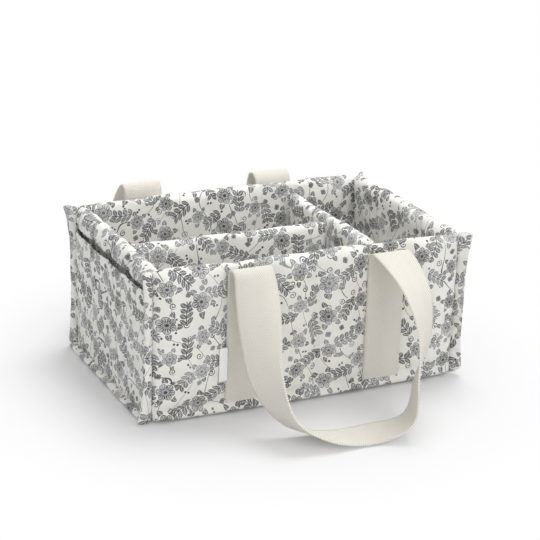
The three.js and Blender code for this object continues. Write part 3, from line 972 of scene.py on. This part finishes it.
# Splay, lift of the foot and rise of the top in millimetres, then as shares of the reach the waist,
# the flares of top and foot, and the foot's rounding.
CORNERS = {
    "front_left": (2, 0, 0, 0.82, 0.25, 0.7, 0.0),
    "front_right": (10, 5, 0, 0.58, 0.57, 0.4, 0.45),
    "back_left": (2, 2, 3, 0.62, 0.75, 0.35, 0.3),
    "back_right": (2, 5, 7, 0.52, 0.1, 0.4, 0.4),
}
for number, (corner, (splay, lift, rise, waist, top, foot, rounding)) in enumerate(CORNERS.items()):
    low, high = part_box(f"{corner}_flange")
    side_x = -1 if "left" in corner else 1
    side_y = -1 if "front" in corner else 1
    root = LENGTH / 2 - 1.5 * MM
    height = high.z - low.z

    def stand(out, along, depth):
        part = along / height
        share = out / FLANGE_REACH
        reach = out * (waist + top * part ** 7 + foot * (1 - part) ** 7)
        reach *= 1 - rounding * (1 - round_rise(along / FIN_LOBE))
        ragged = wobble(along * 60, number * 7.7, 2) * FIN_RAGGED * share
        y = WIDTH / 2 - FLANGE_THICK / 2 - FIN_SET * (1 - share) ** 2 + splay * MM * share ** 2 + depth
        ear = FIN_EAR * share * part ** 8 + rise * MM * part ** 3
        lifted = lift * MM * (1 - part) ** 2
        return Vector((side_x * (root + reach + ragged), side_y * y, low.z + along + ear + lifted))

    fin(f"{corner}_fin", height, CORNER_FULL, stand, (0.53 + 0.17 * number, 0.11), f"{corner}_flange")

for number, side in enumerate(["left", "right"]):
    low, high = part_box(f"{side}_foot_flange")
    side_x = -1 if side == "left" else 1
    root = LENGTH / 2 - 1 * MM

    def stand(out, along, depth):
        return Vector((side_x * (root + out), low.y + along, (low.z + high.z) / 2 + depth))

    offset = (1.4 + 0.1 * number, 0.6)
    fin(f"{side}_foot_fin", high.y - low.y, FOOT_FULL, stand, offset, f"{side}_foot_flange")
print("six seam fins")

# %% [markdown]
# ## Slip pockets
# Each end carries a flat pocket, caught in the seams, with a hemmed mouth that stands a little
# open. It is a single sheet: a grid with a fold at the hem, which Solidify thickens. Three sizes of
# noise crease it, less towards its foot.

# %% Make the pockets
POCKET_GAPE = 4.5 * MM
POCKET_FLARE = 2.2
POCKET_BOW = 6
POCKET_TUCK = 5 * MM
POCKET_TUCK_REACH = 8 * MM
POCKET_OFF = 1.6 * MM
POCKET_CLOTH = 1.4 * MM
POCKET_CREASES = [(30, 22, 0.9 * MM), (85, 30, 1.1 * MM), (150, 70, 0.7 * MM)]
HEM = 16 * MM
HEM_FOLD = 2 * MM
HEM_BACK = 1.7 * MM


def pocket(name, panel, side, offset):
    low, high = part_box(name)
    half = (high.y - low.y) / 2
    tall = high.z - low.z
    rows = steps([0, tall - HEM_FOLD, tall + HEM_FOLD, tall + HEM], 4 * MM)
    mesh = cloth_grid(steps([-half, half], 3.6 * MM), rows, offset)
    for vertex in mesh.verts:
        u, s = vertex.co.x, vertex.co.y
        rise = s if s <= tall else 2 * tall - s
        gape = POCKET_GAPE * (1 - abs(u / half) ** POCKET_BOW) * (rise / tall) ** POCKET_FLARE
        tuck = -HEM_BACK * clamp((s - tall + HEM_FOLD) / (2 * HEM_FOLD))
        crease = sum(wobble(u * across, s * along, offset[0] * 30) * deep
                     for across, along, deep in POCKET_CREASES)
        z = low.z + rise
        sunk = POCKET_TUCK * math.exp(-(half - abs(u)) / POCKET_TUCK_REACH)
        out = panel.half + panel.swell(0, u, z) + POCKET_OFF + gape + tuck - sunk
        out += crease * (0.3 + rise / tall) / 1.3
        vertex.co = panel.place(u, out, z)
    made = finish_mesh(f"{side}_slip_pocket", mesh, cotton)
    thicken(made, POCKET_CLOTH)
    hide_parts(name)
    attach(made, "basket")
    return made


for number, side in enumerate(["left", "right"]):
    made = pocket(f"{side}_pocket", walls[f"{side}_end"], side, (1.7 + 0.3 * number, 0.2))
    print(made.name, "has", len(made.data.polygons), "faces")

# %% [markdown]
# ## Handles
# A handle is one length of webbing: sewn up the wall, folded over, let fall in a loop, and sewn
# down again. Its route is a smooth curve through a few points: the place along the wall, the
# distance out and the height in millimetres, then the heading and the rise of the webbing's width
# in degrees.

# %% Lay out the route of a handle
BEND_LEAD = 8 * MM
STRIP_FOOT = strip_lo.z
LEFT_TURN = [0, 45, 90, 135]
RIGHT_TURN = [80, 40, 0]
FRONT_BEND = (9 * MM, 16 * MM, 19 * MM)
BACK_BEND = (13 * MM, -2 * MM, -5 * MM)
ROUTE_POINTS = 900
STRIP_STEP = 2 * MM
LOOP_ROUTE = [
    (-93, 33, 143, -18, 10),
    (-96, 49, 115, -35, 20),
    (-100, 77, 69, -63, 30),
    (-82, 104, 25, -98, 27),
    (-41, 116, 7, -103, 10),
    (11, 120, 3, -101, 0),
    (54, 130, 19, -107, 11),
    (66, 124, 68, -117, 19),
    (82, 107, 107, -140, 27),
    (89, 74, 148, -163, 14),
]


def smooth_curve(points, count):
    """Points along a centripetal Catmull-Rom curve through the given ones."""
    ends = [2 * points[0] - points[1], *points, 2 * points[-1] - points[-2]]
    made = []
    for k in range(count + 1):
        place = (len(points) - 1) * k / count
        i = min(int(place), len(points) - 2)
        a, b, c, d = ends[i:i + 4]
        before, here, after = (max((q - p).length ** 0.5, 1e-4) for p, q in ((a, b), (b, c), (c, d)))
        leave = ((b - a) / before - (c - a) / (before + here) + (c - b) / here) * here
        arrive = ((c - b) / here - (d - b) / (here + after) + (d - c) / after) * here
        w = place - i
        bend = -3 * b + 3 * c - 2 * leave - arrive
        made.append(b + leave * w + bend * w * w + (2 * b - 2 * c + leave + arrive) * w ** 3)
    return made


def handle_route(facing, middle, bend):
    """A handle's middle line and the direction of its width, from foot to foot."""
    radius, left_drop, right_drop = bend
    turn = Matrix.Rotation(0 if facing < 0 else math.pi, 3, "Z")
    shift = Vector((middle, 0, 0))

    def place(x, out, z):
        return turn @ Vector((x, -(STRAP_PLANE + out), z)) + shift

    def width(heading, rise):
        h, r = math.radians(heading), math.radians(rise)
        return turn @ Vector((math.cos(r) * math.cos(h), math.cos(r) * math.sin(h), math.sin(r)))

    def fold(x, drop, angles):
        arcs = [math.radians(a) for a in angles]
        return [place(x, radius * (1 - math.cos(a)), HEIGHT - drop + radius * math.sin(a)) for a in arcs]

    left, right = -HANDLE_SPACING / 2, HANDLE_SPACING / 2
    left_lead, right_lead = (HEIGHT - drop - BEND_LEAD for drop in (left_drop, right_drop))
    points = [place(left, 0, left_lead), *fold(left, left_drop, LEFT_TURN)]
    points += [place(x * MM, out * MM, z * MM) for x, out, z, _, _ in LOOP_ROUTE]
    points += [*fold(right, right_drop, RIGHT_TURN), place(right, 0, right_lead)]
    widths = [width(0, 0)] * (1 + len(LEFT_TURN))
    widths += [width(heading, rise) for _, _, _, heading, rise in LOOP_ROUTE]
    widths += [width(-180, 0)] * (1 + len(RIGHT_TURN))
    up_strip, down_strip = ([place(x, 0, z) for z in steps([STRIP_FOOT, lead], STRIP_STEP)[:-1]]
                            for x, lead in ((left, left_lead), (right, right_lead)))
    across = [widths[0]] * len(up_strip) + smooth_curve(widths, ROUTE_POINTS)
    across += [widths[-1]] * len(down_strip)
    return up_strip + smooth_curve(points, ROUTE_POINTS) + down_strip[::-1], across


def evenly(points, directions, step):
    """The route at even steps, each with its distance from the start."""
    runs = [0.0]
    for p, q in zip(points, points[1:]):
        runs.append(runs[-1] + (q - p).length)
    count = math.ceil(runs[-1] / step)
    made, k = [], 0
    for i in range(count + 1):
        goal = runs[-1] * i / count
        while k < len(runs) - 2 and runs[k + 1] < goal:
            k += 1
        share = (goal - runs[k]) / max(runs[k + 1] - runs[k], 1e-9)
        centre, across = (row[k].lerp(row[k + 1], share) for row in (points, directions))
        made.append((goal, centre, across))
    return made


print("route of", len(LOOP_ROUTE), "points")

# %% [markdown]
# The webbing is a little cupped across its width, and wanders a little where it is free. Each handle is one
# thickened strip of webbing that hangs on its wall.

# %% Make the handles
WEBBING_STEP = 4 * MM
WEBBING_COLUMN = 6.2 * MM
CUP = 0.5 * MM
WANDER = 0.8 * MM
FREE_FROM = 0.17
FREE_REACH = 0.05
PRESSED = 0.92
BEND_FROM = 1.5 * MM
BEND_TO = 60 * MM
HANDLES = {"front_handle": (-1, FRONT_MIDDLE, FRONT_BEND), "back_handle": (1, BACK_MIDDLE, BACK_BEND)}
for name, (facing, middle, bend) in HANDLES.items():
    route = evenly(*handle_route(facing, middle, bend), WEBBING_STEP)
    columns = steps([-STRAP_WIDTH / 2, STRAP_WIDTH / 2], WEBBING_COLUMN)
    mesh = cloth_grid(columns, [run for run, _, _ in route], (0, 0))
    row = mesh.verts.layers.int["row"]
    for vertex in mesh.verts:
        i = vertex[row]
        run, centre, across = route[i]
        along = (route[min(i + 1, len(route) - 1)][1] - route[max(i - 1, 0)][1]).normalized()
        across = (across - along * across.dot(along)).normalized()
        free = clamp((min(run, route[-1][0] - run) - FREE_FROM) / FREE_REACH)
        cup = CUP * free * (1 - (2 * vertex.co.x / STRAP_WIDTH) ** 2)
        wander = wobble(run * 11, middle * 90, 3.1) * WANDER * free
        vertex.co = centre + across * (vertex.co.x + wander) + along.cross(across) * cup
    face_out(mesh)
    strap = finish_mesh(f"{name}_webbing", mesh, webbing)
    thicken(strap, STRAP_THICK * PRESSED)
    nodes = [f"{name}_loop"] + [f"{name}_{s}_{p}" for s in ("left", "right") for p in ("strip", "bend")]
    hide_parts(*nodes)
    hinge = next(Vector(j["pos_m"]) for j in frame["joints"] if j["child"] == name)
    start, end = ((0, facing * (STRAP_PLANE + out), hinge.z) for out in (BEND_FROM, BEND_TO))
    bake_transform(strap)
    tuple(start)
    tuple(end)
    print(f"{name}: {route[-1][0]:.3f} m of webbing")

# %% [markdown]
# ## The bare tab
# A short folded ribbon, left blank, is caught under the edge of the front handle's left strip. A
# ray cast on the swollen wall seats each of its points.

# %% Make the tab
TAB_STEP = 1.2 * MM
TAB_LAYER = 0.45 * MM
TAB_LIFT = 1.2 * MM
TAB_OFF = 0.8 * MM
TAB_THICK = 0.5 * MM
low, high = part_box("side_tab")
tab_width = high.x - low.x
cover = BVHTree.FromObject(bpy.data.objects["front_wall"], bpy.context.evaluated_depsgraph_get())
mesh = cloth_grid(steps([0, 2 * tab_width], TAB_STEP), steps([low.z, high.z], 5 * MM), (0, 0))
for vertex in mesh.verts:
    s, z = vertex.co.x, vertex.co.y
    out = s if s <= tab_width else 2 * tab_width - s
    layer = (TAB_LAYER if s <= tab_width else -TAB_LAYER) * clamp(abs(s - tab_width) / TAB_STEP)
    lift = TAB_LIFT * (out / tab_width) ** 2
    under = cover.ray_cast(Vector((high.x - out, -WIDTH, z)), Vector((0, 1, 0)))[0]
    y = min(low.y, under.y) - TAB_OFF - lift + layer
    vertex.co = Vector((high.x - out, y, z))
face_out(mesh)
tab = finish_mesh("side_ribbon_tab", mesh, ribbon)
thicken(tab, TAB_THICK)
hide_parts("side_tab")
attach(tab, "basket")
print(f"tab of {tab_width * 1000:.0f} by {(high.z - low.z) * 1000:.0f} mm")

# %% [markdown]
# ## Stitches
# Each stitch is a small ball of thread, stretched along its row and half sunk. Rows hold the handle
# strips, and one runs down the middle of each long wall.

# %% Sew the rows
STITCH_PITCH = 3.8 * MM
STITCH_LENGTH = 2.9 * MM
THREAD = 0.8 * MM
BALL_FACES = 20
STITCH_INSET = 2.6 * MM
STITCH_TOP = 14 * MM
STITCH_ROWS = 5 * MM
SEAM_FROM = WELT_HEIGHT + 4 * MM
SEAM_TO = HEIGHT - 24 * MM


def sew(name, rows, facing):
    """Rows of stitches, each from its first to its last point."""
    mesh = bmesh.new()
    for first, last in rows:
        first, last = Vector(first), Vector(last)
        along = (last - first).normalized()
        side = along.cross(facing).normalized()
        count = max(1, round((last - first).length / STITCH_PITCH))
        size = Vector((STITCH_LENGTH / 2, THREAD / 2, THREAD / 2))
        turn = Matrix((along, side, along.cross(side))).transposed()
        for i in range(count):
            centre = first.lerp(last, (i + 0.5) / count)
            where = Matrix.LocRotScale(centre, turn.to_quaternion(), size)
            bmesh.ops.create_icosphere(mesh, subdivisions=1, radius=1, matrix=where)
    face_out(mesh)
    made = finish_mesh(name, mesh, thread, 0)
    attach(made, "basket")
    return made


for name, (facing, middle, bend) in HANDLES.items():
    face = facing * (STRAP_PLANE + STRAP_THICK * PRESSED / 2)
    reach = STRAP_WIDTH / 2 - STITCH_INSET
    rows = []
    for k, drop in ((-1, bend[1]), (1, bend[2])):
        top = min(HEIGHT - drop - BEND_LEAD, HEIGHT - STITCH_TOP)
        x = middle + k * HANDLE_SPACING / 2
        for edge in (-reach, reach):
            rows.append(((x + edge, face, STRIP_FOOT + 2 * MM), (x + edge, face, top)))
        for z in (top, top - STITCH_ROWS):
            rows.append(((x - reach, face, z), (x + reach, face, z)))
    sunk = facing * (WIDTH / 2 + THREAD / 4)
    rows.append(((middle, sunk, SEAM_FROM), (middle, sunk, SEAM_TO)))
    sewn = sew(f"{name}_stitches", rows, Vector((0, facing, 0)))
    print(name, "has", len(sewn.data.polygons) // BALL_FACES, "stitches")

# %% [markdown]
# ## What the CAD already shapes well
# The tapes and the base board keep their CAD solids and only take a finish.

# %% Dress the CAD nodes that stay
for name, node in frame["nodes"].items():
    kept = card if name == "base_board" else tape if name.endswith(("tape", "hook")) else None
    if kept:
        node.data.materials.clear()
        node.data.materials.append(kept)
print("tapes and board dressed")

# %% [markdown]
# ## Last update
# At the end the view layer is brought up to date. The dressed caddy may stand only a little
# proud of the CAD box.

# %% Bring the scene up to date
bpy.context.view_layer.update()
